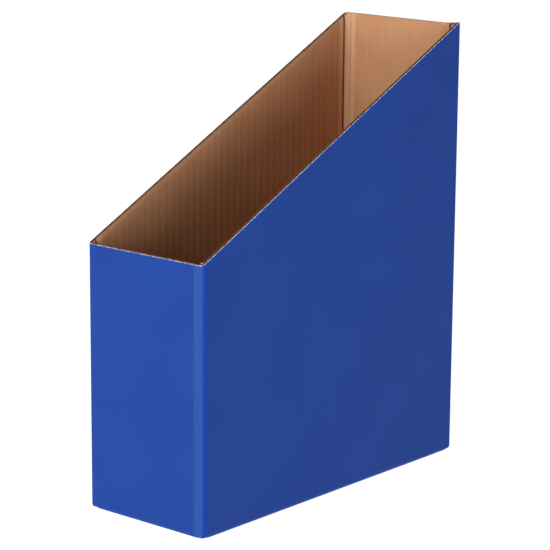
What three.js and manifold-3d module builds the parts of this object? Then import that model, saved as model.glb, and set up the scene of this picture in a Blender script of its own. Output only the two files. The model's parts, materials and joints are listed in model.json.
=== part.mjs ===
// Magazine file holder, folded from one die-cut blank of corrugated board.
// Units are millimetres and +Z is up. The origin is the middle of the footprint, on the floor.
// The low front wall faces -Y, the tall back wall faces +Y, and the open top slants between them.
//
// Every wall and flap is a sandwich of three papers: a printed outer liner, a fluted medium and
// a kraft inner liner. The panels hinge on scored creases, where the two liners bend round the
// corner in strips of their own. The file folds flat when its bottom is opened: the four walls
// are a parallelogram, and the bottom flaps swing down until they hang in line with their walls.
import * as THREE from 'three';
import { mergeVertices } from 'three/addons/utils/BufferGeometryUtils.js';
import Module from 'manifold-3d';

const wasm = await Module();
wasm.setup();

// ---- Driving dimensions ----
const WIDTH = 94.5; // outside, across X
const DEPTH = 250; // outside, along Y
const FRONT_HEIGHT = 170;
const BACK_HEIGHT = 291.5; // of the right wall, at its back corner

const BOARD = 3; // B-flute board: the outer face of one liner to that of the other
const LINER = 0.3;
const MEDIUM = 0.2; // paper of the flutes
const FLUTE_PITCH = 6.5;
const PAPER_GAP = 0.05; // between the flutes and each liner
const GLUE = 0.2;

const BEND = 3.4; // outside radius of a crease
const JOIN = 0.1; // between a panel and the crease strip that carries on from it
const HINGE_INSET = 0.15; // a crease turns about a line this far inside the inner liner
const BEND_STEPS = 6; // facets in a quarter turn
const FLUTE_STEPS = 6; // facets in one flute

const GLUE_FLAP_WIDTH = 30;
const GLUE_FLAP_DROP = 1.5; // its top corner, below the slanted edge
const GLUE_FLAP_FOOT = 9; // its lowest corner, above the floor
const GLUE_FLAP_FALL = 2; // how far its top edge falls, from the crease to the cut-off corner
const GLUE_FLAP_CUT = { width: 5, height: 10 }; // what is cut off each free corner
const GLUE_MARGIN = 4; // bare board around the glue
// The back wall's raw end and the glue flap's root stand in from the right wall's outer face, so
// that they pass its end as the file folds.
const SEAM_SETBACK = 6.45;
const FLAP_SETBACK = 5.95;

const TUCK_WIDTH = 110;
const TUCK_TOP = 28;
const TUCK_TAPER = 6; // the tuck flap narrows by this at each end, so that it finds its way in
const FIT = 0.3; // between the tuck flap and the left wall
const BASE_FIT = 0.8; // between the base panel and the left wall, and the ramps of the dust flaps

const DUST_DEPTH = 25; // how far a dust flap reaches in from its hinge
const DUST_RAMP = 8.8; // the stretch next to the crease that climbs over the base panel
const DUST_LAP = 0.3; // between a dust flap and the base panel under it
const DUST_INSET = 5.5; // from an outside corner to the end of a dust flap's crease
const SEAM_INSET = 8.5; // the same at the seam
const FRONT_DUST_SLOPES = [0.3, 2]; // how fast its left and right edges run in
const BACK_DUST_SLOPES = [1, 1];
const RAMP_ANGLE = 0.62;
const RAMP_EASE = 4; // radius of the bend at the head of the ramp
const LIFT = 0.2; // the end walls stand this far off the floor, which only the base panel touches

const QUARTER = Math.PI / 2;

// ---- Colours ----
const PRINT_BLUE = 0x2c52a6;
const KRAFT = 0xb08a66;
const MEDIUM_BROWN = 0x8f6c4b;
const GLUE_CREAM = 0xe4dcc4;

// ---- Derived sizes ----
const HALF_WIDTH = WIDTH / 2;
const HALF_DEPTH = DEPTH / 2;
const SLANT = (BACK_HEIGHT - FRONT_HEIGHT) / DEPTH;
const PANEL_INSET = BEND + JOIN; // from an outside corner to the end of a panel
const GLUE_GAP = GLUE + 2 * PAPER_GAP;
// the glue flap lies outside the back wall, whose printed face is in by a board and the glue
const BACK_FACE = HALF_DEPTH - BOARD - GLUE_GAP;
const HINGE = BOARD + HINGE_INSET; // from an outer face to the line that its crease turns about
const TUCK_FACE = -HALF_WIDTH + BOARD + FIT; // X of the tuck flap's outer face
const DUST_FLOOR = BOARD + DUST_LAP; // Z of a dust flap's outer face
const dustStart = (face) => face - HINGE - DUST_RAMP; // for the wall whose printed face is there
const dustTip = (face) => face - HINGE - DUST_DEPTH;
const BASE_ENDS = [-dustStart(HALF_DEPTH) + BASE_FIT, dustStart(BACK_FACE) - BASE_FIT];
const FRONT_CREASE = [-HALF_WIDTH + DUST_INSET, HALF_WIDTH - DUST_INSET];
const BACK_CREASE = [-HALF_WIDTH + DUST_INSET, HALF_WIDTH - SEAM_INSET];

// ---- Materials ----
function paper(color, roughness) {
  return new THREE.MeshStandardMaterial({ color, roughness, metalness: 0 });
}

const printed = () => paper(PRINT_BLUE, 0.55);
const kraft = () => paper(KRAFT, 0.85);
const medium = () => paper(MEDIUM_BROWN, 0.9);
const glue = () => paper(GLUE_CREAM, 0.5);

const holder = new THREE.Group();

function add(name, geometry, material, parent = holder) {
  const mesh = new THREE.Mesh(geometry, material);
  mesh.name = name;
  parent.add(mesh);
}

// ---- Solids ----
function point(x, y) {
  return new THREE.Vector2(x, y);
}

function extrude(points, depth) {
  return new THREE.ExtrudeGeometry(new THREE.Shape(points), { depth, bevelEnabled: false });
}

// An upright prism on a plan outline, whose top may slope.
function prism(points, bottom, topAt) {
  const geometry = extrude(points, 1);
  const position = geometry.attributes.position;
  for (let i = 0; i < position.count; i += 1) {
    const top = topAt(position.getX(i), position.getY(i));
    position.setZ(i, position.getZ(i) > 0 ? top : bottom);
  }
  return geometry;
}

function toSolid(geometry) {
  const bare = geometry.clone();
  bare.deleteAttribute('normal');
  bare.deleteAttribute('uv');
  const merged = mergeVertices(bare);
  return new wasm.Manifold(new wasm.Mesh({
    numProp: 3,
    vertProperties: merged.attributes.position.array,
    triVerts: merged.index.array,
  }));
}

function toGeometry(solid) {
  const mesh = solid.getMesh();
  const geometry = new THREE.BufferGeometry();
  geometry.setAttribute('position', new THREE.BufferAttribute(mesh.vertProperties, 3));
  geometry.setIndex(new THREE.BufferAttribute(mesh.triVerts, 1));
  geometry.computeVertexNormals();
  return geometry;
}

// ---- Corrugated board ----
// A panel is drawn flat: x runs across the flutes, y along them, and z is 0 at the printed face
// and BOARD at the kraft face.
function fluteSheet(box) {
  const reach = (BOARD - 2 * LINER - 2 * PAPER_GAP - MEDIUM) / 2;
  const swing = reach / Math.sin(Math.PI / 3); // six facets to a flute touch the sine off its peak
  const steps = Math.ceil((box.max.x - box.min.x) / FLUTE_PITCH + 2) * FLUTE_STEPS;
  const middle = [];
  for (let i = 0; i <= steps; i += 1) {
    const x = box.min.x - FLUTE_PITCH + (i * FLUTE_PITCH) / FLUTE_STEPS;
    middle.push(point(x, BOARD / 2 + swing * Math.sin((2 * Math.PI * i) / FLUTE_STEPS)));
  }
  const under = middle.map((p) => point(p.x, p.y - MEDIUM / 2));
  const over = middle.map((p) => point(p.x, p.y + MEDIUM / 2)).reverse();
  const length = box.max.y - box.min.y + 2 * BOARD;
  const sheet = extrude([...under, ...over], length);
  sheet.rotateX(Math.PI / 2);
  sheet.translate(0, box.max.y + BOARD, 0);
  return sheet;
}

function addBoard(name, outline, origin, along, inward) {
  const panel = new THREE.Group();
  const across = along.clone().cross(inward);
  panel.quaternion.setFromRotationMatrix(new THREE.Matrix4().makeBasis(across, along, inward));
  panel.position.copy(origin);
  holder.add(panel);

  const outer = extrude(outline, LINER);
  const inner = extrude(outline, LINER);
  inner.translate(0, 0, BOARD - LINER);
  const flutes = toSolid(fluteSheet(new THREE.Box2().setFromPoints(outline)));
  const cutter = toSolid(extrude(outline, BOARD));
  add(`${name}_outer_liner`, outer, printed(), panel);
  add(`${name}_flutes`, toGeometry(flutes.intersect(cutter)), medium(), panel);
  add(`${name}_inner_liner`, inner, kraft(), panel);
}

const X = new THREE.Vector3(1, 0, 0);
const Y = new THREE.Vector3(0, 1, 0);
const Z = new THREE.Vector3(0, 0, 1);
const at = (x, y, z) => new THREE.Vector3(x, y, z);
const back = (axis) => axis.clone().negate();

// ---- Creases ----
// A crease is traced along its printed face, with the inside of the file on the left. Each step
// of the trace keeps its heading, so that the liners under it are offset square to the path.
function trace(start, heading, moves) {
  const path = [{ place: start, heading }];
  let place = start;
  let angle = heading;
  const go = (length) => {
    const step = point(Math.cos(angle), Math.sin(angle));
    return place.clone().addScaledVector(step, length);
  };
  for (const move of moves) {
    const steps = move.turn ? Math.ceil(Math.abs(move.turn) / QUARTER * BEND_STEPS) : 1;
    for (let i = 0; i < steps; i += 1) {
      if (move.turn) {
        const half = move.turn / steps / 2;
        angle += half;
        place = go(2 * move.radius * Math.sin(Math.abs(half)));
        angle += half;
      } else {
        place = go(move.straight);
      }
      path.push({ place, heading: angle });
    }
  }
  return path;
}

// The points of a path, moved to its left by a distance.
function offset(path, distance) {
  return path.map(({ place, heading }) => {
    const left = point(-Math.sin(heading), Math.cos(heading));
    return place.clone().addScaledVector(left, distance);
  });
}

function ribbon(path, from, to) {
  return [...offset(path, from), ...offset(path, to).reverse()];
}

function addCrease(name, path, shapeOf) {
  add(`${name}_outer`, shapeOf(ribbon(path, 0, LINER)), printed());
  add(`${name}_inner`, shapeOf(ribbon(path, BOARD - LINER, BOARD)), kraft());
}

// ---- Walls ----
const slantAt = (y) => FRONT_HEIGHT + SLANT * (y + HALF_DEPTH);

// The foot of a wall runs along its bottom crease, and drops to the floor beside it.
function addWall(name, side, ends, tops, foot, crease, origin, inward) {
  const outline = [
    point(ends[0], tops[0]),
    point(ends[1], tops[1]),
    point(ends[1], foot),
  ];
  if (crease) {
    const rise = foot + PANEL_INSET;
    outline.push(point(crease[1] + JOIN, foot));
    outline.push(point(crease[1] + JOIN, rise));
    outline.push(point(crease[0] - JOIN, rise));
    outline.push(point(crease[0] - JOIN, foot));
  }
  outline.push(point(ends[0], foot));
  addBoard(name, outline.map((p) => point(side * p.x, p.y)), origin, Z, inward);
}

function addSideWall(name, side, back, crease) {
  const ends = [-HALF_DEPTH + PANEL_INSET, back - PANEL_INSET];
  const inward = X.clone().multiplyScalar(-side);
  addWall(name, -side, ends, ends.map(slantAt), 0, crease, at(side * HALF_WIDTH, 0, 0), inward);
}

function addEndWall(name, face, ends, top, crease) {
  const side = Math.sign(face);
  const inward = Y.clone().multiplyScalar(-side);
  addWall(name, side, ends, [top, top], LIFT, crease, at(0, face, 0), inward);
}

const PANEL_END = HALF_WIDTH - PANEL_INSET;
const SEAM_END = HALF_WIDTH - SEAM_SETBACK;
const FLAP_ROOT = HALF_WIDTH - FLAP_SETBACK;
addSideWall('right_wall', 1, HALF_DEPTH, BASE_ENDS);
addSideWall('left_wall', -1, BACK_FACE, null);
addEndWall('front_wall', -HALF_DEPTH, [-PANEL_END, PANEL_END], FRONT_HEIGHT, FRONT_CREASE);
addEndWall('back_wall', BACK_FACE, [-PANEL_END, SEAM_END], slantAt(BACK_FACE), BACK_CREASE);

// ---- Glue flap: creased off the right wall and glued outside the back wall ----
function addGlueFlap() {
  const free = HALF_WIDTH - GLUE_FLAP_WIDTH;
  const shoulder = free + GLUE_FLAP_CUT.width;
  const top = slantAt(HALF_DEPTH) - GLUE_FLAP_DROP;
  const freeTop = top - GLUE_FLAP_FALL - GLUE_FLAP_CUT.height;
  const freeFoot = GLUE_FLAP_FOOT + GLUE_FLAP_FALL + GLUE_FLAP_CUT.height;
  const outline = [
    point(FLAP_ROOT, GLUE_FLAP_FOOT),
    point(FLAP_ROOT, top),
    point(shoulder, top - GLUE_FLAP_FALL),
    point(free, freeTop),
    point(free, freeFoot),
    point(shoulder, GLUE_FLAP_FOOT + GLUE_FLAP_FALL),
  ];
  addBoard('glue_flap', outline, at(0, HALF_DEPTH, 0), Z, back(Y));

  const under = BACK_FACE + PAPER_GAP;
  const film = [
    point(free + GLUE_MARGIN, under),
    point(SEAM_END - GLUE_MARGIN, under),
    point(SEAM_END - GLUE_MARGIN, under + GLUE),
    point(free + GLUE_MARGIN, under + GLUE),
  ];
  const filmTop = freeTop - GLUE_MARGIN;
  add('glue_line', prism(film, freeFoot + GLUE_MARGIN, () => filmTop), glue());
}

addGlueFlap();

// ---- Upright corner creases ----
function addCorner(name, start, heading, moves) {
  const path = trace(start, heading, moves);
  addCrease(name, path, (points) => prism(points, LIFT, (x, y) => slantAt(y)));
}

const bend = { turn: QUARTER, radius: BEND };
addCorner('front_right_crease', point(HALF_WIDTH - BEND, -HALF_DEPTH), 0, [bend]);
addCorner('back_right_crease', point(HALF_WIDTH, HALF_DEPTH - BEND), QUARTER, [
  bend,
  { straight: PANEL_END - FLAP_ROOT },
]);
addCorner('back_left_crease', point(-HALF_WIDTH + BEND, BACK_FACE), 2 * QUARTER, [bend]);
addCorner('front_left_crease', point(-HALF_WIDTH, -HALF_DEPTH + BEND), -QUARTER, [bend]);

// ---- Base panel: creased off the right wall, with a tuck flap inside the left wall ----
const BASE_LEFT = TUCK_FACE + PANEL_INSET;

function addBase() {
  const half = TUCK_WIDTH / 2;
  const left = HALF_WIDTH - BOARD - BASE_FIT; // beside the tuck flap, close to the left wall
  const outline = [
    point(BASE_ENDS[0], -PANEL_END),
    point(BASE_ENDS[1], -PANEL_END),
    point(BASE_ENDS[1], left),
    point(half + JOIN, left),
    point(half + JOIN, -BASE_LEFT),
    point(-half - JOIN, -BASE_LEFT),
    point(-half - JOIN, left),
    point(BASE_ENDS[0], left),
  ];
  addBoard('base_panel', outline, at(0, 0, 0), back(X), Z);

  const flap = [
    point(-half, PANEL_INSET),
    point(half, PANEL_INSET),
    point(half - TUCK_TAPER, TUCK_TOP),
    point(-half + TUCK_TAPER, TUCK_TOP),
  ];
  addBoard('tuck_flap', flap, at(TUCK_FACE, 0, 0), Z, X);
}

addBase();

// A crease along Y, drawn in X and Z.
function addLongCrease(name, path, from, to) {
  addCrease(name, path, (points) => {
    const geometry = extrude(points, to - from);
    geometry.rotateX(QUARTER);
    geometry.translate(0, to, 0);
    return geometry;
  });
}

addLongCrease(
  'right_bottom_crease',
  trace(point(HALF_WIDTH - BEND, 0), 0, [bend]),
  ...BASE_ENDS,
);
addLongCrease(
  'tuck_crease',
  trace(point(TUCK_FACE, BEND), -QUARTER, [bend]),
  -TUCK_WIDTH / 2,
  TUCK_WIDTH / 2,
);

// ---- Dust flaps: creased off the end walls and resting on the base panel ----
// The board climbs from the crease, over the edge of the base panel, on a gentle ramp.
function rampPath(face) {
  const climb = DUST_FLOOR - LIFT;
  const bends = (BEND + RAMP_EASE) * (1 - Math.cos(RAMP_ANGLE));
  const slope = (climb - bends) / Math.sin(RAMP_ANGLE);
  const start = point(-face, BEND + LIFT);
  const path = trace(start, -QUARTER, [
    { turn: QUARTER + RAMP_ANGLE, radius: BEND },
    { straight: slope },
    { turn: -RAMP_ANGLE, radius: RAMP_EASE },
  ]);
  const { y } = path.at(-1).place;
  path.push({ place: point(-dustStart(face) - JOIN, y), heading: 0 });
  return path;
}

// A dust flap is drawn on the front wall, and turned half round for the back wall. Its side edges
// start square to the crease at both ends of the wall's crease, and then run in by slopes[0] and
// slopes[1] for each millimetre of reach.
function addDustFlap(name, side, face, ends, slopes) {
  const turn = side > 0 ? Math.PI : 0;
  const [left, right] = side > 0 ? [-ends[1], -ends[0]] : ends;
  const edges = (y) => {
    const reach = Math.max(0, y + face - BEND);
    return [left + slopes[0] * reach, right - slopes[1] * reach];
  };
  addCrease(`${name}_crease`, rampPath(face), (points) => {
    // (x, y) of the drawing become Y and Z, and its depth becomes X
    const geometry = extrude(points, 1).applyMatrix4(new THREE.Matrix4().makeBasis(Y, Z, X));
    const position = geometry.attributes.position;
    for (let i = 0; i < position.count; i += 1) {
      const [low, high] = edges(position.getY(i));
      position.setX(i, position.getX(i) > 0 ? high : low);
    }
    return geometry.rotateZ(turn);
  });

  const [start, tip] = [-dustStart(face), -dustTip(face)];
  const [leftRoot, rightRoot] = edges(start);
  const [leftTip, rightTip] = edges(tip);
  const outline = [
    point(leftRoot, start),
    point(rightRoot, start),
    point(rightTip, tip),
    point(leftTip, tip),
  ];
  const along = Y.clone().multiplyScalar(-side);
  addBoard(name, outline, at(0, 0, DUST_FLOOR), along, Z);
}

addDustFlap('front_dust_flap', -1, HALF_DEPTH, FRONT_CREASE, FRONT_DUST_SLOPES);
addDustFlap('back_dust_flap', 1, BACK_FACE, BACK_CREASE, BACK_DUST_SLOPES);

export default holder;
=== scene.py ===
"""Blender looks for a magazine file folded from corrugated board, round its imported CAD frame.

Every panel of the frame is three papers: a printed liner, a fluted medium and a kraft liner.
Each paper is made again here as a fine closed mesh that stands for its CAD node, and the strips
of paper at the creases bend between the two panels that they join. Lengths are in metres.
"""

import json
import math

import bmesh
import bpy
from mathutils import Matrix, Quaternion, Vector, noise


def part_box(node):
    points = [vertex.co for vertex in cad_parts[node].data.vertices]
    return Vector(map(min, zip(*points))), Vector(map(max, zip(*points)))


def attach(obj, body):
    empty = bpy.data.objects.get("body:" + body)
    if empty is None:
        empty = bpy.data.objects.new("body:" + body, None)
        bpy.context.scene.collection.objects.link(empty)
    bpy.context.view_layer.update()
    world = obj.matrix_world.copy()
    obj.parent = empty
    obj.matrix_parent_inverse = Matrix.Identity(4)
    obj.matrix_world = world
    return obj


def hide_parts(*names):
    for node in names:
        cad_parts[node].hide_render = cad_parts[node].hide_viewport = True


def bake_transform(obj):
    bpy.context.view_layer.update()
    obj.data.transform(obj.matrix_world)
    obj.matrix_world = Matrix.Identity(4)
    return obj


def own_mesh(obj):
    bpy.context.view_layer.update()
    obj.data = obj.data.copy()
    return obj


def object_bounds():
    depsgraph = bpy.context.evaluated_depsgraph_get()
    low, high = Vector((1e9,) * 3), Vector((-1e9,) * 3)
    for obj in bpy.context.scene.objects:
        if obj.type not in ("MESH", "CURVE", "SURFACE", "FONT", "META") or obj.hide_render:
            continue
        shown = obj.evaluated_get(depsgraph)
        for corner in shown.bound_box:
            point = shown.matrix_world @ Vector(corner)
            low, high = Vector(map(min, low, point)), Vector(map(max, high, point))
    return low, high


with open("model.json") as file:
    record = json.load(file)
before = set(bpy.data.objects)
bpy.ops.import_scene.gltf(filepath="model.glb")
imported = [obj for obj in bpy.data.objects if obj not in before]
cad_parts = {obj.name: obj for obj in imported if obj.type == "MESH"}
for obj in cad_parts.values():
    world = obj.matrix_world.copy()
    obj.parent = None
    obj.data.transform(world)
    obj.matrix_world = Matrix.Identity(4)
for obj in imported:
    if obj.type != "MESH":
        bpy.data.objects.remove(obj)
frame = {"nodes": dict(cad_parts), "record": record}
cad_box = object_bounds()

# ---- Sizes taken from the frame ----
MM = 0.001
QUARTER = math.pi / 2
X, Y, Z = Vector((1, 0, 0)), Vector((0, 1, 0)), Vector((0, 0, 1))

low, high = cad_box
front_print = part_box("front_wall_outer_liner")
front_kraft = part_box("front_wall_inner_liner")
front_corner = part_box("front_right_crease_outer")
LINER = front_print[1].y - front_print[0].y
BOARD = front_kraft[1].y - front_print[0].y
FRONT_TOP = front_print[1].z
BEND = front_corner[1].x - front_corner[0].x  # outside radius of a crease
JOIN = front_corner[0].x - front_print[1].x  # between a panel and its crease strips
open_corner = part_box("back_right_crease_outer")
BACK_TOP = open_corner[1].z
TAB = open_corner[1].x - open_corner[0].x - BEND  # straight part of that crease, by the glue flap
BODY_OF = {n: b for b, nodes in frame["record"]["behaviour"]["bodies"].items() for n in nodes}

# ---- Paper ----
FLUTE_PITCH = 6.5 * MM
MEDIUM = 0.2 * MM
FLUTE_STEPS = 16  # columns of faces in one flute
LINER_STEPS = 8  # the same in a liner
ROW = 12 * MM  # rows of faces along the flutes
CREASE_STEPS = 24  # faces in a quarter turn
CREASE_ROWS = 28
FOOT_ROWS = 8  # rows of faces where the foot of a wall rolls under
END_COLUMNS = 24  # narrow columns next to a crease
END_COLUMN = 0.4 * MM
SHARP_ANGLE = math.radians(40)  # edges of a mesh that turn by more than this aren't smoothed
ON_EDGE = 0.001 * MM  # a place this near to a cut edge is on it
SAME_PLACE = 0.0001 * MM
UNCUT = 1.0  # distance from a cut edge where there is none
CORNER_LENGTH = QUARTER * BEND + 2 * JOIN
PRINT_RELIEF = 0.02 * MM  # how far a liner sinks between two flutes
KRAFT_RELIEF = 0.1 * MM
CRUSH = 4 * MM  # the flutes are crushed flat this close to a crease
CRUMPLE_PITCH = 1.7 * MM  # of the crushed medium inside a crease
CRUMPLE = 0.35 * MM
FRAY = 0.1 * MM  # how ragged a cut edge is
FRAY_LENGTH = 1.3 * MM
CHIP = 0.35 * MM  # depth of a chip in it
CHIP_LENGTH = 4 * MM
CHIP_FROM, CHIP_TO = 0.42, 0.62  # the noise that starts a chip, and that of its full depth
PINCH = 0.3  # share of the board's thickness that the cutting knife takes off at an edge
PINCH_REACH = 3 * MM
SEAM_PINCH = 0.62  # the same at the back wall's raw end, which the seam is pressed on
SEAM_REACH = 6 * MM
CUT_ROWS = [row * MM for row in (2.2, 1.4, 0.8, 0.35, 0)]  # rows of faces, from the cut edge
FOLD_RADIUS = 2 * MM  # of the printed liner round an upright corner
ROLL_FADE = 10 * MM  # the left wall's foot is straight this far from its ends
CORNER_LIFT = 1.2 * MM  # the foot of a corner is this much shorter than the walls beside it
LIFT_FADE = 4 * MM

# The score beside a crease on the kraft side, on the end walls and on the side walls.
GROOVE_DEPTH = (0.1 * MM, 0.28 * MM)
# How strongly painted shade darkens the kraft in the score's groove, on the end walls and on the side
# walls.
GROOVE_SHADE = (0.45, 1.0)
GROOVE_PLACE = (4.0 * MM, 0.5 * MM)
GROOVE_WIDTH = (0.5 * MM, 1.1 * MM)

# Beside an upright crease a band of painted light reaches this far: on the end walls, on the side
# walls. On the print it is a paler painted highlight on the end walls and a painted deeper blue on
# the side walls; on the kraft it is a paler painted band. The share is how strongly the print shows
# it at the first and second end of each wall, and 0 where there is no band.
FAINT = 0.2
CREASE_LIGHT_WIDTH = {"print": (4.2 * MM, 1.0 * MM), "kraft": (8.0 * MM, 6.0 * MM)}
CREASE_LIGHT_SHARE = {
    "front_wall": (1.0, FAINT),
    "right_wall": (FAINT, 1.0),
    "left_wall": (FAINT, FAINT),
    "back_wall": (FAINT, 0.0),
}
CREASE_LIGHT_FADE = 1.6 * MM
SCORE_SHADE_WIDTH = 0.5 * MM  # of the painted shade line on the print where the painted highlight band ends

# ---- Ramps of the dust flaps, as in the CAD ----
RAMP_ANGLE = 0.62  # radians
RAMP_EASE = 4 * MM  # radius where a ramp levels out

# ---- Camera ----
CAMERA_AIM = Vector((-0.16, -4.3, 136.46)) * MM
CAMERA_AZIMUTH = math.radians(40.454)
CAMERA_ELEVATION = math.radians(13.169)
CAMERA_ROLL = math.radians(0.441)
CAMERA_DISTANCE = 1527.9 * MM
CAMERA_LENS = 156.71  # on Blender's 36 mm sensor

# ---- Floor and light ----
FLOOR_REACH = 6.0
FLOOR_TONE = 0.5
FLOOR_GLOW = 0.95  # lights the floor from within, as a light table does
HORIZON = 0.9  # brightness of the walls of the studio
CEILING = 0.0
CEILING_FROM = 0.25  # sine of the elevation where the walls give way to the ceiling
CEILING_TO = 0.6
FAR_SIDE = 0.5  # share of the brightness on the far side, behind the file and to its right
FAR_SIDE_FROM = -0.2  # how far a direction lies that way
FAR_SIDE_TO = 0.5
# Azimuth and elevation in degrees, distance, size and power in watts.
SOFTBOXES = {
    "key": (-2, 24, 1.6, 0.9, 16),
    "fill": (70, 0, 0.9, 0.5, 3),
}


def slant_at(y):
    """Height of the slanted top edge."""
    return FRONT_TOP + (BACK_TOP - FRONT_TOP) * (y - low.y) / (high.y - low.y)


def smooth(value, start, end):
    """0 up to start, 1 from end on, and a smooth step between."""
    t = max(0.0, min(1.0, (value - start) / (end - start)))
    return t * t * (3 - 2 * t)


def ripple(u):
    """0 over the crest of a flute and 1 between two crests."""
    return 0.5 - 0.5 * math.cos(2 * math.pi * u / FLUTE_PITCH)


def pinched(edge):
    """Thickness of the board this far from a cut edge, as a share of the whole."""
    return 1 - PINCH * (1 - smooth(edge, 0, PINCH_REACH))


def bump(value, middle, width):
    """1 at the middle, falling to nothing a few widths away."""
    return math.exp(-(((value - middle) / width) ** 2))


def ragged(u, seed):
    """How far a cut edge falls short at u: fine fraying everywhere, and a chip here and there."""
    fine = 0.5 + 0.5 * noise.noise(Vector((u / FRAY_LENGTH, seed, 0)))
    chip = noise.noise(Vector((u / CHIP_LENGTH, seed, 7)))
    return FRAY * fine + CHIP * smooth(chip, CHIP_FROM, CHIP_TO)


def lifted(height, foot, share):
    """Height of a place in a wall's foot, shortened by that share of the lift of a corner."""
    return height + CORNER_LIFT * share * max(0.0, (foot + BEND - height) / BEND)


def rolled(depth, height, foot, share=1.0):
    """Depth and height of a place in a wall whose foot is rounded off from the outside."""
    turn = (foot + BEND - height) / BEND
    if turn <= 0:
        return depth, height
    inward = BEND * (1 - math.cos(turn)) * (1 - depth / BOARD)
    down = foot + BEND * (1 - math.sin(turn))
    return depth + inward * share, height + (down - height) * share


# ---- Materials ----
class Paint:
    """A Principled material whose colour, roughness and bump come from noise in blank coordinates.

    Blank coordinates lie in the flat board, in metres: x across the flutes and y along them.
    """

    def __init__(self, name, specular=0.3):
        self.material = bpy.data.materials.new(name)
        self.material.use_nodes = True
        self.tree = self.material.node_tree
        self.shader = self.tree.nodes["Principled BSDF"]
        self.shader.inputs["Specular IOR Level"].default_value = specular
        self.blank = self.attribute("blank", "Vector")

    def node(self, kind, output, settings=None, **inputs):
        made = self.tree.nodes.new(kind)
        for key, value in (settings or {}).items():
            setattr(made, key, value)
        for key, value in inputs.items():
            self.feed(made.inputs[key.replace("_", " ")], value)
        return made.outputs[output]

    def feed(self, socket, value):
        if isinstance(value, bpy.types.NodeSocket):
            self.tree.links.new(value, socket)
        else:
            socket.default_value = value

    def attribute(self, name, output="Fac"):
        return self.node("ShaderNodeAttribute", output, {"attribute_name": name})

    def math(self, operation, *values):
        made = self.tree.nodes.new("ShaderNodeMath")
        made.operation = operation
        for socket, value in zip(made.inputs, values):
            self.feed(socket, value)
        return made.outputs[0]

    def stretched(self, scale):
        """Blank coordinates times a scale for each direction."""
        made = self.tree.nodes.new("ShaderNodeVectorMath")
        made.operation = "MULTIPLY"
        self.feed(made.inputs[0], self.blank)
        self.feed(made.inputs[1], scale)
        return made.outputs[0]

    def noise(self, size, detail=2.0, stretch=(1, 1, 1), distortion=0.0):
        """Noise whose features are about size metres, times the stretch of each direction."""
        scale = tuple(1 / (size * part) for part in stretch)
        return self.node(
            "ShaderNodeTexNoise",
            "Fac",
            Vector=self.stretched(scale),
            Scale=1.0,
            Detail=detail,
            Distortion=distortion,
        )

    def span(self, value, start, end, to_start=0.0, to_end=1.0):
        """value brought smoothly from start..end to to_start..to_end."""
        return self.node(
            "ShaderNodeMapRange",
            "Result",
            {"interpolation_type": "SMOOTHSTEP"},
            Value=value,
            From_Min=start,
            From_Max=end,
            To_Min=to_start,
            To_Max=to_end,
        )

    def mix(self, share, first, second, blend="MIX"):
        made = self.tree.nodes.new("ShaderNodeMix")
        made.data_type = "RGBA"
        made.blend_type = blend
        self.feed(made.inputs["Factor"], share)
        for socket, value in zip((made.inputs[6], made.inputs[7]), (first, second)):
            self.feed(socket, (*value, 1) if isinstance(value, tuple) else value)
        return made.outputs[2]

    def flute_stripes(self):
        """0 over a flute's crest and 1 between two crests, in step with ripple()."""
        u = self.node("ShaderNodeSeparateXYZ", "X", Vector=self.blank)
        wave = self.math("COSINE", self.math("MULTIPLY", u, 2 * math.pi / FLUTE_PITCH))
        return self.math("MULTIPLY_ADD", wave, -0.5, 0.5)

    def finish(self, colour, roughness, height, depth):
        """height is bumped by up to depth metres."""
        self.feed(self.shader.inputs["Base Color"], colour)
        self.feed(self.shader.inputs["Roughness"], roughness)
        normal = self.node("ShaderNodeBump", "Normal", Height=height, Distance=depth, Strength=1.0)
        self.feed(self.shader.inputs["Normal"], normal)
        return self.material


def printed_paper():
    paint = Paint("printed_liner", specular=0.09)
    cloud = paint.noise(60 * MM, 2)
    grain = paint.noise(0.6 * MM, 3, (1, 2, 1))
    fibre = paint.noise(0.25 * MM, 4, (1, 3, 1), 0.4)
    blue, light_blue = (0.0085, 0.0425, 0.245), (0.0095, 0.0465, 0.264)
    colour = paint.mix(paint.span(cloud, 0.3, 0.7), blue, light_blue)
    ink_grain = (0.020, 0.085, 0.380)
    colour = paint.mix(paint.span(grain, 0.35, 0.75, 0, 0.06), colour, ink_grain)
    # Painted light beside an upright crease: a paler painted highlight band on the end walls, and a
    # painted deeper blue (negative marks) on the side walls.
    painted_crease_light = paint.attribute("painted_crease_light")
    painted_highlight_band, painted_side_light = (0.017, 0.068, 0.290), (0.003, 0.045, 0.345)
    colour = paint.mix(paint.span(painted_crease_light, 0, 1), colour, painted_highlight_band)
    colour = paint.mix(paint.span(painted_crease_light, 0, -1), colour, painted_side_light)
    # A painted shade line on the print where the painted highlight band ends.
    score_shade_colour = (0.003, 0.025, 0.170)
    colour = paint.mix(paint.span(paint.attribute("painted_score_shade"), 0, 1, 0, 0.3), colour, score_shade_colour)
    tear = paint.noise(0.8 * MM, 3, (2.5, 1, 1))
    edge = paint.span(paint.attribute("edge"), 0.1 * MM, 0.6 * MM, 1, 0)
    bare_paper = (0.55, 0.58, 0.78)
    worn = paint.math("MULTIPLY", edge, paint.span(tear, 0.38, 0.60))
    colour = paint.mix(worn, colour, bare_paper)
    roughness = paint.span(grain, 0.3, 0.7, 0.50, 0.60)
    return paint.finish(colour, roughness, fibre, 0.012 * MM)


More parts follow.
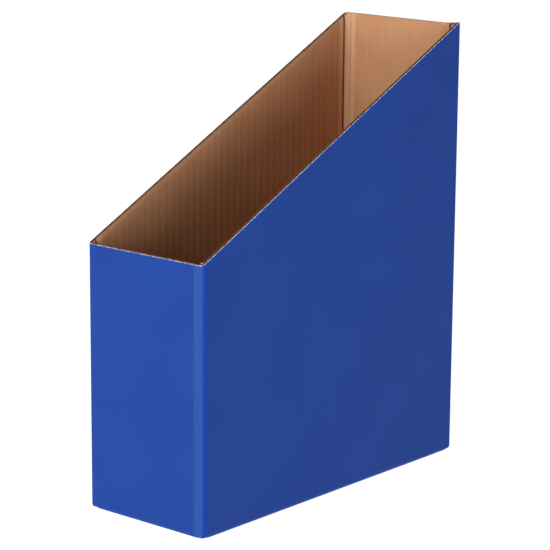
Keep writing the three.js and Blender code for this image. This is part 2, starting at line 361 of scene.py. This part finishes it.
def kraft_paper():
    paint = Paint("kraft_liner", specular=0.12)
    cloud = paint.noise(30 * MM, 4)
    streak = paint.noise(1.2 * MM, 3, (1, 22, 1), 0.2)
    fibre = paint.noise(0.3 * MM, 4, (1, 5, 1), 0.8)
    speck = paint.noise(0.8 * MM, 2, (1, 2.5, 1))
    brown, light_brown = (0.520, 0.262, 0.134), (0.570, 0.290, 0.150)
    colour = paint.mix(paint.span(cloud, 0.3, 0.7), brown, light_brown)
    long_streak, dark_fibre = (0.390, 0.180, 0.086), (0.300, 0.145, 0.070)
    colour = paint.mix(paint.span(streak, 0.40, 0.65, 0, 0.13), colour, long_streak)
    colour = paint.mix(paint.span(fibre, 0.55, 0.8, 0, 0.25), colour, dark_fibre)
    dark_speck = (0.200, 0.095, 0.045)
    colour = paint.mix(paint.span(speck, 0.70, 0.78, 0, 0.45), colour, dark_speck)
    sunk, painted_highlight_band, score_shade_colour = (0.230, 0.105, 0.048), (0.760, 0.450, 0.270), (0.080, 0.030, 0.012)
    # Painted shade: the kraft between two flute crests is darkened a little, as the washboard's shade.
    colour = paint.mix(paint.math("MULTIPLY", paint.flute_stripes(), 0.06), colour, sunk)
    # Painted light: a paler band on the kraft beside an upright crease.
    colour = paint.mix(paint.span(paint.attribute("painted_crease_light"), 0, 1, 0, 0.50), colour, painted_highlight_band)
    # Painted shade in the score's groove beside a crease.
    colour = paint.mix(paint.span(paint.attribute("painted_score_shade"), 0, 1, 0, 0.85), colour, score_shade_colour)
    roughness = paint.span(fibre, 0.3, 0.7, 0.78, 0.92)
    return paint.finish(colour, roughness, fibre, 0.03 * MM)


def fluting_paper():
    paint = Paint("flute_medium", specular=0.12)
    cloud = paint.noise(12 * MM, 3)
    fibre = paint.noise(0.35 * MM, 4, (1, 4, 1), 0.8)
    brown, light_brown, dark_fibre = (0.150, 0.080, 0.042), (0.190, 0.105, 0.058), (0.090, 0.045, 0.022)
    colour = paint.mix(paint.span(cloud, 0.3, 0.7), brown, light_brown)
    colour = paint.mix(paint.span(fibre, 0.5, 0.8, 0, 0.4), colour, dark_fibre)
    roughness = paint.span(fibre, 0.3, 0.7, 0.85, 0.96)
    return paint.finish(colour, roughness, fibre, 0.04 * MM)


def cut_paper(name, pale, dark, upright):
    """The torn fibres of a cut edge, with painted light in another colour where the edge stands
    upright.
    """
    paint = Paint(name, specular=0.12)
    tear = paint.noise(0.5 * MM, 4, (1.5, 1, 1), 0.6)
    patch = paint.noise(4 * MM, 2)
    colour = paint.mix(paint.span(tear, 0.35, 0.7), pale, dark)
    colour = paint.mix(paint.span(patch, 0.5, 0.75, 0, 0.4), colour, dark)
    normal = paint.node("ShaderNodeNewGeometry", "Normal")
    up = paint.node("ShaderNodeSeparateXYZ", "Z", Vector=normal)
    # Painted light: cut faces that stand upright, as in the shaded seam gap at the back wall's raw end,
    # take the upright colour.
    colour = paint.mix(paint.span(up, 0.1, 0.5, 0.7, 0), colour, upright)
    roughness = paint.span(tear, 0.3, 0.7, 0.8, 0.95)
    return paint.finish(colour, roughness, tear, 0.05 * MM)


def dried_glue():
    """For a CAD node, which has no blank coordinates: its own are in metres too."""
    paint = Paint("glue", specular=0.45)
    paint.blank = paint.node("ShaderNodeTexCoord", "Object")
    lump = paint.noise(3 * MM, 3)
    bubble = paint.noise(0.6 * MM, 2)
    amber, pale_amber, froth = (0.66, 0.58, 0.42), (0.78, 0.72, 0.58), (0.85, 0.81, 0.70)
    colour = paint.mix(paint.span(lump, 0.3, 0.7), amber, pale_amber)
    colour = paint.mix(paint.span(bubble, 0.6, 0.75, 0, 0.5), colour, froth)
    roughness = paint.span(lump, 0.3, 0.7, 0.35, 0.55)
    return paint.finish(colour, roughness, lump, 0.1 * MM)


PRINTED = printed_paper()
KRAFT = kraft_paper()
FLUTING = fluting_paper()
CUT_PRINT = cut_paper(
    "cut_printed_liner", pale=(0.85, 0.85, 0.93), dark=(0.50, 0.52, 0.72), upright=(0.70, 0.55, 0.42)
)
CUT_KRAFT = cut_paper(
    "cut_kraft_liner", pale=(0.30, 0.170, 0.095), dark=(0.18, 0.095, 0.050), upright=(0.62, 0.33, 0.17)
)

# For each layer's piece: the endings of the panel node and the crease node that it stands for, its
# material slot, and the materials of its outward face, its inward face and its cut rim. Only the
# liners have crease nodes.
LAYERS = {
    "print": ("outer_liner", "outer", "printed_liner", (PRINTED, KRAFT, CUT_PRINT)),
    "medium": ("flutes", None, "flute_medium", (FLUTING, FLUTING, FLUTING)),
    "kraft": ("inner_liner", "inner", "kraft_liner", (KRAFT, KRAFT, CUT_KRAFT)),
}


# ---- Closed sheets of paper ----
class Sheet:
    """A closed mesh on a flat grid: the outward copy, the inward copy and a rim between them.

    Its marks, for the materials, are the distance from a cut edge, the painted light beside a crease
    (negative on the side walls' print, where it is a painted deeper blue) and the painted shade of a
    score.
    """

    def __init__(self, count, faces):
        self.count = count
        self.faces = faces  # anticlockwise as seen from the kraft side
        self.points = []
        self.blank = []
        self.marks = {"edge": [], "painted_crease_light": [], "painted_score_shade": []}

    def add(self, point, blank, edge, painted_crease_light=0.0, painted_score_shade=0.0):
        self.points.append(point)
        self.blank.append(blank)
        for values, value in zip(self.marks.values(), (edge, painted_crease_light, painted_score_shade)):
            values.append(value)

    def build(self, name, layer):
        n = self.count
        once = {}  # the sides that only one face has
        for face in self.faces:
            for a, b in zip(face, face[1:] + face[:1]):
                if (b, a) in once:
                    del once[b, a]
                else:
                    once[a, b] = True
        outward = [list(reversed(face)) for face in self.faces]
        inward = [[i + n for i in face] for face in self.faces]
        rim = [[a, b, b + n, a + n] for a, b in once]
        mesh = bpy.data.meshes.new(name)
        mesh.from_pydata(self.points, [], outward + inward + rim)
        kinds = [kind for kind, part in enumerate((outward, inward, rim)) for _ in part]
        mesh.polygons.foreach_set("material_index", kinds)
        mesh.polygons.foreach_set("use_smooth", [True] * len(kinds))
        mesh.set_sharp_from_angle(angle=SHARP_ANGLE)
        for material in LAYERS[layer][3]:
            mesh.materials.append(material)
        blank = mesh.attributes.new("blank", "FLOAT_VECTOR", "POINT")
        blank.data.foreach_set("vector", [part for place in self.blank for part in place])
        for key, values in self.marks.items():
            mesh.attributes.new(key, "FLOAT", "POINT").data.foreach_set("value", values)
        piece = bpy.data.objects.new(name, mesh)
        bpy.context.scene.collection.objects.link(piece)
        return piece


# ---- Panels ----
CREASE_BOXES = [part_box(node) for node in BODY_OF if node.endswith("_crease_outer")]


def meets_crease(place):
    """Whether a place on a panel's outline is where a crease carries on from it."""
    reach = 2 * JOIN
    return any(
        all(lowest[k] - reach < place[k] < highest[k] + reach for k in range(3))
        for lowest, highest in CREASE_BOXES
    )


class Panel:
    """A flat panel of the frame, with axes u across its flutes, v along them and depth inward.

    Its shift is what brings u to its place on the blank.
    """

    def __init__(self, name, along, walled=False):
        self.name = name
        self.along = along
        self.walled = walled
        self.body = BODY_OF[f"{name}_outer_liner"]
        outer, inner = (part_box(f"{name}_{layer}") for layer in ("outer_liner", "inner_liner"))
        apart = inner[0] + inner[1] - outer[0] - outer[1]
        self.inward = max((X, Y, Z, -X, -Y, -Z), key=lambda axis: axis.dot(apart))
        self.across = along.cross(self.inward)
        self.face = min(corner.dot(self.inward) for corner in outer)
        self.outline = self.trace_outline()
        self.ends = [pick(u for u, v in self.outline) for pick in (min, max)]
        self.foot, self.top = (pick(v for u, v in self.outline) for pick in (min, max))
        self.on_side = abs(self.inward.x) > 0.5
        self.shift = 0.0
        sides = zip(self.outline, self.outline[1:] + self.outline[:1])
        self.cuts = [(Vector(a), Vector(b)) for a, b in sides if not self.is_joined(a, b)]

    def is_joined(self, a, b):
        return meets_crease(self.flat_place((a[0] + b[0]) / 2, (a[1] + b[1]) / 2, 0))

    def trace_outline(self):
        """The corners of the CAD liner's printed face, in order round it."""
        mesh = frame["nodes"][f"{self.name}_outer_liner"].data
        sides = {}
        for face in mesh.polygons:
            if face.normal.dot(self.inward) < -0.99:
                spots = [self.flat(mesh.vertices[i].co) for i in face.vertices]
                for a, b in zip(spots, spots[1:] + spots[:1]):
                    if sides.get(b) == [a]:
                        del sides[b]
                    elif a in sides.get(b, []):
                        sides[b].remove(a)
                    else:
                        sides.setdefault(a, []).append(b)
        start = next(iter(sides))
        outline = [start]
        while sides[outline[-1]][0] != start:
            outline.append(sides[outline[-1]][0])
        return outline

    def flat(self, point):
        return round(point.dot(self.across), 7), round(point.dot(self.along), 7)

    def flat_place(self, u, v, depth):
        return self.across * u + self.along * v + self.inward * (self.face + depth)

    def place(self, u, v, depth):
        if self.walled:
            reach = self.from_crease(u)
            # The left wall has no flap at its foot, so it only rolls under at its ends.
            straight = smooth(reach, 0, ROLL_FADE) if self.name == "left_wall" else 0
            v = lifted(v, self.foot, 1 - smooth(reach, 0, LIFT_FADE))
            depth, v = rolled(depth, v, self.foot, 1 - straight)
        return self.flat_place(u, v, depth)

    def from_cut(self, u, v):
        """Distance from the nearest cut edge."""
        spot = Vector((u, v))
        nearest = UNCUT
        for a, b in self.cuts:
            along = b - a
            share = max(0.0, min(1.0, (spot - a).dot(along) / along.length_squared))
            nearest = min(nearest, (spot - a - along * share).length)
        return nearest

    def from_crease(self, u):
        return min(u - self.ends[0], self.ends[1] - u)

    def grid(self, steps):
        """The outline cut into columns and rows: its points and its faces."""
        bm = bmesh.new()
        bm.faces.new([bm.verts.new((u, v, 0)) for u, v in self.outline])
        bm.normal_update()
        if next(iter(bm.faces)).normal.z < 0:
            bmesh.ops.reverse_faces(bm, faces=bm.faces[:])
        step = FLUTE_PITCH / steps
        first = math.ceil((self.ends[0] + self.shift) / step)
        last = math.floor((self.ends[1] + self.shift) / step)
        columns = [i * step - self.shift for i in range(first, last + 1)]
        count = math.ceil((self.top - self.foot) / ROW)
        rows = [self.foot + (self.top - self.foot) * i / count for i in range(1, count)]
        ways = [(X, columns), (Y, rows)]
        if self.walled:
            narrow = [END_COLUMN * i for i in range(1, END_COLUMNS + 1)]
            columns += [self.ends[0] + reach for reach in narrow]
            columns += [self.ends[1] - reach for reach in narrow]
            rows += [self.foot + BEND * i / FOOT_ROWS for i in range(1, FOOT_ROWS + 1)]
            ways.append(self.cut_rows())
        for axis, places in ways:
            ahead = bm.faces[:]  # only these can meet the next cut
            for spot in sorted(places):
                geometry = {g for f in ahead for g in (f, *f.edges, *f.verts)}
                cut = bmesh.ops.bisect_plane(
                    bm, geom=list(geometry), dist=SAME_PLACE, plane_co=axis * spot, plane_no=axis
                )
                faces = [g for g in cut["geom"] if isinstance(g, bmesh.types.BMFace)]
                ahead = [f for f in faces if f.calc_center_median().dot(axis) > spot]
        bm.verts.index_update()
        points = [tuple(v.co.xy) for v in bm.verts]
        faces = [[v.index for v in f.verts] for f in bm.faces]
        bm.free()
        return points, faces

    def cut_rows(self):
        """A way across the wall's cut top edge, and the places of the rows under it."""
        a, b = max(self.cuts, key=lambda side: (side[0] + side[1]).y)
        way = Vector((a.y - b.y, b.x - a.x, 0)).normalized()
        if way.y < 0:
            way = -way
        return way, [way.xy.dot(a) - row for row in (PINCH_REACH, *CUT_ROWS[:-1])]

    def painted_crease_light(self, u, layer):
        """How much painted light lies beside a crease at u, and how much painted shade lies in its
        score.

        The kraft shows both in full wherever a wall's end has a share of the painted light.
        """
        if not self.walled or layer == "medium":
            return 0.0, 0.0
        width = CREASE_LIGHT_WIDTH[layer][self.on_side]
        painted_crease_light = painted_score_shade = 0.0
        for reach, share in zip((u - self.ends[0], self.ends[1] - u), CREASE_LIGHT_SHARE[self.name]):
            if layer == "kraft" and share:
                share = 1.0
                painted_score_shade += self.groove(reach) * GROOVE_SHADE[self.on_side]
            elif layer == "print" and share:
                painted_score_shade += bump(reach, width, SCORE_SHADE_WIDTH)
            painted_crease_light += share * (1 - smooth(reach, width - CREASE_LIGHT_FADE, width + CREASE_LIGHT_FADE))
        return (-painted_crease_light if self.on_side and layer == "print" else painted_crease_light), painted_score_shade

    def groove(self, reach):
        """How deep the score is, as a share, this far from a crease."""
        return bump(reach, GROOVE_PLACE[self.on_side], GROOVE_WIDTH[self.on_side])

    def depths(self, layer, u, edge):
        """Depth of a layer's outward and inward faces at u, this far from a cut edge."""
        crushed = smooth(self.from_crease(u), 0, CRUSH)
        sunk = ripple(u + self.shift) * crushed
        thin = pinched(edge)
        if self.name == "back_wall":
            thin = min(thin, 1 - SEAM_PINCH * (1 - smooth(self.ends[1] - u, 0, SEAM_REACH)))
        if layer == "print":
            return PRINT_RELIEF * sunk, LINER
        if layer == "kraft":
            groove = GROOVE_DEPTH[self.on_side] * self.groove(self.from_crease(u)) * self.walled
            face = BOARD * thin
            return face - LINER, face - KRAFT_RELIEF * sunk - groove
        wave = 2 * math.pi / FLUTE_PITCH
        reach = BOARD / 2 - LINER - MEDIUM / 2 - KRAFT_RELIEF
        phase = wave * (u + self.shift)
        slope = reach * wave * math.sin(phase)
        half = MEDIUM / 2 * math.sqrt(1 + slope * slope)
        middle = (BOARD / 2 - reach * math.cos(phase)) * thin + LINER * (1 - thin) / 2
        return middle - half, middle + half

    def make(self):
        for layer, (ending, _, _, _) in LAYERS.items():
            points, faces = self.grid(FLUTE_STEPS if layer == "medium" else LINER_STEPS)
            sheet = Sheet(len(points), faces)
            for side in (0, 1):
                for u, v in points:
                    edge = self.from_cut(u, v)
                    depth = self.depths(layer, u, edge)[side]
                    if self.walled and edge < ON_EDGE and v > (self.foot + self.top) / 2:
                        v -= ragged(u + self.shift, ord(layer[0]))
                    blank = (u + self.shift, v, depth)
                    sheet.add(self.place(u, v, depth), blank, edge, *self.painted_crease_light(u, layer))
            piece = sheet.build(f"{self.name}_{layer}", layer)
            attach(piece, self.body)
            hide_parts(f"{self.name}_{ending}")


WALLS = ("right_wall", "front_wall", "left_wall", "back_wall")
panels = {name: Panel(name, Z, walled=True) for name in WALLS}
panels["glue_flap"] = Panel("glue_flap", Z)
panels["tuck_flap"] = Panel("tuck_flap", Z)
panels["base_panel"] = Panel("base_panel", -X)
panels["front_dust_flap"] = Panel("front_dust_flap", Y)
panels["back_dust_flap"] = Panel("back_dust_flap", -Y)


def lay_out_blank():
    """Gives the walls one run of blank coordinates, so that flutes and print carry on round."""
    place = 0.0
    for name in WALLS:
        panel = panels[name]
        panel.shift = place - panel.ends[0]
        place += panel.ends[1] - panel.ends[0] + CORNER_LENGTH
    flap = panels["glue_flap"]
    flap.shift = -CORNER_LENGTH - TAB - flap.ends[1]


lay_out_blank()
for panel in panels.values():
    panel.make()


# ---- Creases ----
def trace(start, heading, moves):
    """A path in a plane, with the inside of the file on its left: (point, heading, length)."""
    point = Vector(start)
    path = [(point.copy(), heading, 0.0)]
    length = 0.0
    for kind, amount, radius in moves:
        if kind == "straight":
            steps, turn, stride = 1, 0.0, amount
        else:
            steps = math.ceil(abs(amount) / QUARTER * CREASE_STEPS)
            turn = amount / steps
            stride = 2 * radius * math.sin(abs(turn) / 2)
        for _ in range(steps):
            heading += turn / 2
            point = point + Vector((math.cos(heading), math.sin(heading))) * stride
            heading += turn / 2
            length += stride
            path.append((point.copy(), heading, length))
    return path


def beside(path, index, depth):
    point, heading, _ = path[index]
    return point + Vector((-math.sin(heading), math.cos(heading))) * depth


class Crease:
    """The strips of paper that bend between two panels.

    solid(p, row) is the place of the path's point p in that row of the crease, and
    blank(length, place) is its place on the blank.
    """

    rows = CREASE_ROWS

    def __init__(self, name, path, solid, blank):
        self.name = name
        self.path = path
        self.solid = solid
        self.blank = blank

    def depths(self, layer, length):
        if layer == "print":
            return 0.0, LINER
        if layer == "kraft":
            return BOARD - LINER, BOARD
        middle = BOARD / 2 + CRUMPLE * math.sin(2 * math.pi * length / CRUMPLE_PITCH)
        return middle - MEDIUM / 2, middle + MEDIUM / 2

    def make(self, first, second=None, part=""):
        """The strips ride on body first, or, where a second body is given, are baked in place with no
        bend set up.

        Their names say which part of the crease they are, where it has two.
        """
        count = len(self.path)
        starts = [j * count + i for j in range(self.rows) for i in range(count - 1)]
        faces = [[k + count, k + count + 1, k + 1, k] for k in starts]
        pieces = []
        for layer, (_, ending, _, _) in LAYERS.items():
            sheet = Sheet(count * (self.rows + 1), faces)
            for side in (0, 1):
                for j in range(self.rows + 1):
                    for i in range(count):
                        self.add_point(sheet, layer, side, i, j)
            piece = sheet.build(f"{self.name}{part}_{layer}", layer)
            if second:
                deepest = self.depths(layer, CRUMPLE_PITCH / 4)[1]
                ends = (self.solid(beside(self.path, i, deepest), 0) for i in (0, -1))
                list(ends)
                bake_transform(piece)
            else:
                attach(piece, first)
            if ending:
                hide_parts(f"{self.name}_{ending}")
            pieces.append(piece)
        return pieces

    def add_point(self, sheet, layer, side, i, row):
        length = self.path[i][2]
        depth = self.depths(layer, length)[side]
        place = self.solid(beside(self.path, i, depth), row)
        sheet.add(place, (*self.blank(length, place), depth), UNCUT)


class Corner(Crease):
    """An upright crease, whose printed liner has a path of its own, folded more sharply.

    It starts on an end wall or, if not, on a side wall, and its print shows painted light beside the
    crease by this share: a painted highlight on the end wall's half, a painted deeper blue on the side
    wall's. Its cut edge starts fall[0] below the slant, and falls by fall[1] of its length.
    """

    rows = FOOT_ROWS + CREASE_ROWS + len(CUT_ROWS)

    def __init__(self, name, paths, foot, blank, on_end, share, fall):
        super().__init__(name, paths[1], lambda p, row: Vector((p.x, p.y, foot)), blank)
        self.print_path = paths[0]
        self.foot = foot
        self.sign = share if on_end else -share
        self.fall = fall

    def level(self, row, top):
        """Height of a row: they crowd in the bend of the foot and under the cut edge."""
        row -= FOOT_ROWS
        if row < 0:
            return self.foot + BEND * (1 + row / FOOT_ROWS)
        if row > CREASE_ROWS:
            return top - CUT_ROWS[row - CREASE_ROWS - 1]
        start = self.foot + BEND
        return start + (top - PINCH_REACH - start) * row / CREASE_ROWS

    def add_point(self, sheet, layer, side, i, row):
        path = self.print_path if layer == "print" else self.path
        length = path[i][2]
        depth = self.depths(layer, length)[side]
        top = slant_at(beside(path, i, depth).y) - self.fall[0] - self.fall[1] * length
        height = self.level(row, top)
        edge = top - height
        u, v = self.blank(length, Vector((0, 0, height)))
        if layer != "print":
            depth *= pinched(edge)
        if edge < ON_EDGE:
            height -= ragged(u, ord(layer[0]))
        depth, height = rolled(depth, lifted(height, self.foot, 1), self.foot)
        spot = beside(path, i, depth)
        # Painted light on the strips: full on the kraft; on the print a painted highlight on the end
        # wall's half and a painted deeper blue on the side wall's half.
        painted_crease_light = 1.0
        if layer == "print":
            painted_crease_light = self.sign if length < path[-1][2] / 2 else -self.sign
        sheet.add(Vector((spot.x, spot.y, height)), (u, v, depth), edge, painted_crease_light)


def bent_path(lowest, highest, quarter, radius=BEND):
    """A quarter turn inside a box of the crease's plane, run on at both ends to meet the panels.

    It sets out from that corner of the box, counted anticlockwise, by that many quarter turns.
    """
    across = (lowest.x, highest.x, highest.x, lowest.x)[quarter]
    up = (lowest.y, lowest.y, highest.y, highest.y)[quarter]
    heading = quarter * QUARTER
    start = Vector((across, up)) - Vector((math.cos(heading), math.sin(heading))) * JOIN
    run = JOIN + BEND - radius
    moves = [("straight", run, 0.0), ("bend", QUARTER, radius), ("straight", run, 0.0)]
    return trace(start, heading, moves)


def corner_paths(lowest, highest, quarter):
    """The path of an upright crease's printed liner, and that of its other papers."""
    return [bent_path(lowest.xy, highest.xy, quarter, radius) for radius in (FOLD_RADIUS, BEND)]


def blank_beside(name, gone=0.0):
    """Places on the blank along a path that leads away from a panel, once it has gone that far."""
    panel = panels[name]
    start = panel.ends[0] + panel.shift - gone
    return lambda length, place: (start - length, place.z)


def make_corner(name, quarter, first, second, share=FAINT):
    """An upright crease, whose path starts where the first wall ends."""
    lowest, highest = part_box(f"{name}_outer")
    paths = corner_paths(lowest, highest, quarter)
    on_end = quarter % 2 == 0
    Corner(name, paths, lowest.z, blank_beside(first), on_end, share, (0, 0)).make(first, second)


make_corner("front_right_crease", 0, "front_wall", "right_wall", share=1.0)
make_corner("front_left_crease", 3, "left_wall", "front_wall")
make_corner("back_left_crease", 2, "back_wall", "left_wall")


def make_open_corner():
    """The crease at the open pivot has no joint to bend round.

    Its bend folds up against the right wall's end, and the straight tab beyond goes with the glue
    flap. Its cut edge falls from the slant to the flap's top.
    """
    name = "back_right_crease"
    lowest, highest = open_corner
    fall = (BACK_TOP - panels["glue_flap"].top) / (CORNER_LENGTH + TAB)
    paths = corner_paths(lowest, highest, 1)
    bend = Corner(name, paths, lowest.z, blank_beside("right_wall"), False, FAINT, (0, fall))
    for piece in bend.make("right_wall"):
        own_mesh(piece)

    path = trace((highest.x - BEND - JOIN, highest.y), 2 * QUARTER, [("straight", TAB, 0.0)])
    blank = blank_beside("right_wall", CORNER_LENGTH)
    falls = (fall * CORNER_LENGTH, fall)
    Corner(name, [path, path], lowest.z, blank, True, FAINT, falls).make("back_wall", part="_tab")


make_open_corner()


def along_y(lowest, highest):
    """Places in a crease along Y, whose path lies in the plane of X and Z."""
    along = Vector((0, highest.y - lowest.y, 0))
    return lambda p, row: Vector((p.x, lowest.y, p.y)) + along * (row / CREASE_ROWS)


def make_bottom_crease():
    lowest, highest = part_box("right_bottom_crease_outer")
    wall = panels["right_wall"]
    path = bent_path(lowest.xz, highest.xz, 0)

    def blank(length, place):
        return wall.shift + place.dot(wall.across), length - path[-1][2] + highest.z + JOIN

    crease = Crease("right_bottom_crease", path, along_y(lowest, highest), blank)
    crease.make("base_panel", "right_wall")


def make_tuck_crease():
    lowest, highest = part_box("tuck_crease_outer")
    path = bent_path(lowest.xz, highest.xz, 3)

    def blank(length, place):
        return place.y, length

    crease = Crease("tuck_crease", path, along_y(lowest, highest), blank)
    crease.make("tuck_flap", "base_panel")


def make_dust_crease(end, turn):
    """The crease and ramp of a dust flap, drawn on the front wall and turned by this about Z."""
    name = f"{end}_dust_flap_crease"
    turned = Matrix.Rotation(turn, 3, "Z")
    boxes = []
    for node in (f"{name}_outer", f"{end}_dust_flap_outer_liner"):
        corners = [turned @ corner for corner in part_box(node)]
        boxes.append([Vector(map(pick, *corners)) for pick in (min, max)])
    (lowest, highest), (flap_low, flap_high) = boxes
    bends = (BEND + RAMP_EASE) * (1 - math.cos(RAMP_ANGLE))
    slope = (flap_low.z - lowest.z - bends) / math.sin(RAMP_ANGLE)
    start = Vector((lowest.y, lowest.z + BEND + JOIN))
    moves = [
        ("straight", JOIN, 0.0),
        ("bend", QUARTER + RAMP_ANGLE, BEND),
        ("straight", slope, 0.0),
        ("bend", -RAMP_ANGLE, RAMP_EASE),
    ]
    level_from = trace(start, -QUARTER, moves)[-1][0].x
    moves.append(("straight", flap_low.y - level_from, 0.0))
    path = trace(start, -QUARTER, moves)
    root = lowest.y + BEND

    def solid(p, row):
        reach = max(0.0, (p.x - root) / (flap_low.y - root))
        left = lowest.x + (flap_low.x - lowest.x) * reach
        right = highest.x + (flap_high.x - highest.x) * reach
        return turned @ Vector((left + (right - left) * row / CREASE_ROWS, p.x, p.y))

    wall = panels[f"{end}_wall"]

    def blank(length, place):
        return wall.shift + place.dot(wall.across), start.y - length

    Crease(name, path, solid, blank).make(f"{end}_wall", f"{end}_dust_flap")


make_bottom_crease()
make_tuck_crease()
make_dust_crease("front", 0)
make_dust_crease("back", math.pi)

glue_materials = frame["nodes"]["glue_line"].data.materials
glue_materials.clear()
glue_materials.append(dried_glue())


# ---- Floor, light and camera ----
def add_floor():
    mesh = bpy.data.meshes.new("floor")
    signs = ((-1, -1), (1, -1), (1, 1), (-1, 1))
    corners = [(FLOOR_REACH * x, FLOOR_REACH * y, 0) for x, y in signs]
    mesh.from_pydata(corners, [], [(0, 1, 2, 3)])
    floor = bpy.data.objects.new("floor", mesh)
    bpy.context.scene.collection.objects.link(floor)
    material = bpy.data.materials.new("floor")
    material.use_nodes = True
    shader = material.node_tree.nodes["Principled BSDF"]
    shader.inputs["Base Color"].default_value = (FLOOR_TONE, FLOOR_TONE, FLOOR_TONE, 1)
    shader.inputs["Roughness"].default_value = 0.9
    shader.inputs["Specular IOR Level"].default_value = 0.1
    shader.inputs["Emission Color"].default_value = (1, 1, 1, 1)
    shader.inputs["Emission Strength"].default_value = FLOOR_GLOW
    mesh.materials.append(material)


def way_back(azimuth, elevation):
    """The direction from the file to a camera or light at these angles, in radians."""
    level = math.cos(elevation)
    return Vector((math.sin(azimuth) * level, -math.cos(azimuth) * level, math.sin(elevation)))


def add_softbox(name, azimuth, elevation, distance, size, power):
    """A square light aimed at the middle of the file."""
    middle = (low + high) / 2
    back = way_back(math.radians(azimuth), math.radians(elevation))
    data = bpy.data.lights.new(name, "AREA")
    data.size = size
    data.energy = power
    lamp = bpy.data.objects.new(name, data)
    lamp.location = middle + back * distance
    lamp.rotation_mode = "QUATERNION"
    lamp.rotation_quaternion = (-back).to_track_quat("-Z", "Y")
    bpy.context.scene.collection.objects.link(lamp)


def add_sky():
    """A studio that is bright in front, dimmer on its far side and dark above."""
    world = bpy.data.worlds.new("studio")
    world.use_nodes = True
    tree = world.node_tree
    direction = tree.nodes.new("ShaderNodeTexCoord").outputs["Generated"]

    def fade(axis, start, end, to_start, to_end):
        """How far a direction lies along an axis, from start..end to to_start..to_end."""
        along = tree.nodes.new("ShaderNodeVectorMath")
        along.operation = "DOT_PRODUCT"
        along.inputs[1].default_value = axis
        tree.links.new(direction, along.inputs[0])
        made = tree.nodes.new("ShaderNodeMapRange")
        made.interpolation_type = "SMOOTHSTEP"
        tree.links.new(along.outputs["Value"], made.inputs["Value"])
        ends = {"From Min": start, "From Max": end, "To Min": to_start, "To Max": to_end}
        for key, value in ends.items():
            made.inputs[key].default_value = value
        return made.outputs["Result"]

    strength = tree.nodes.new("ShaderNodeMath")
    strength.operation = "MULTIPLY"
    tree.links.new(fade(Z, CEILING_FROM, CEILING_TO, HORIZON, CEILING), strength.inputs[0])
    tree.links.new(fade((X + Y) / 2, FAR_SIDE_FROM, FAR_SIDE_TO, 1.0, FAR_SIDE), strength.inputs[1])
    tree.links.new(strength.outputs["Value"], tree.nodes["Background"].inputs["Strength"])
    tree.nodes["Background"].inputs["Color"].default_value = (1, 1, 1, 1)
    bpy.context.scene.world = world
    bpy.context.scene.view_settings.view_transform = "Standard"


def add_camera():
    back = way_back(CAMERA_AZIMUTH, CAMERA_ELEVATION)
    data = bpy.data.cameras.new("camera")
    data.lens = CAMERA_LENS
    camera = bpy.data.objects.new("camera", data)
    camera.location = CAMERA_AIM + back * CAMERA_DISTANCE
    camera.rotation_mode = "QUATERNION"
    level = (-back).to_track_quat("-Z", "Y")
    camera.rotation_quaternion = Quaternion(back, CAMERA_ROLL) @ level
    bpy.context.scene.collection.objects.link(camera)
    bpy.context.scene.camera = camera


add_floor()
add_sky()
for name, setting in SOFTBOXES.items():
    add_softbox(name, *setting)
add_camera()
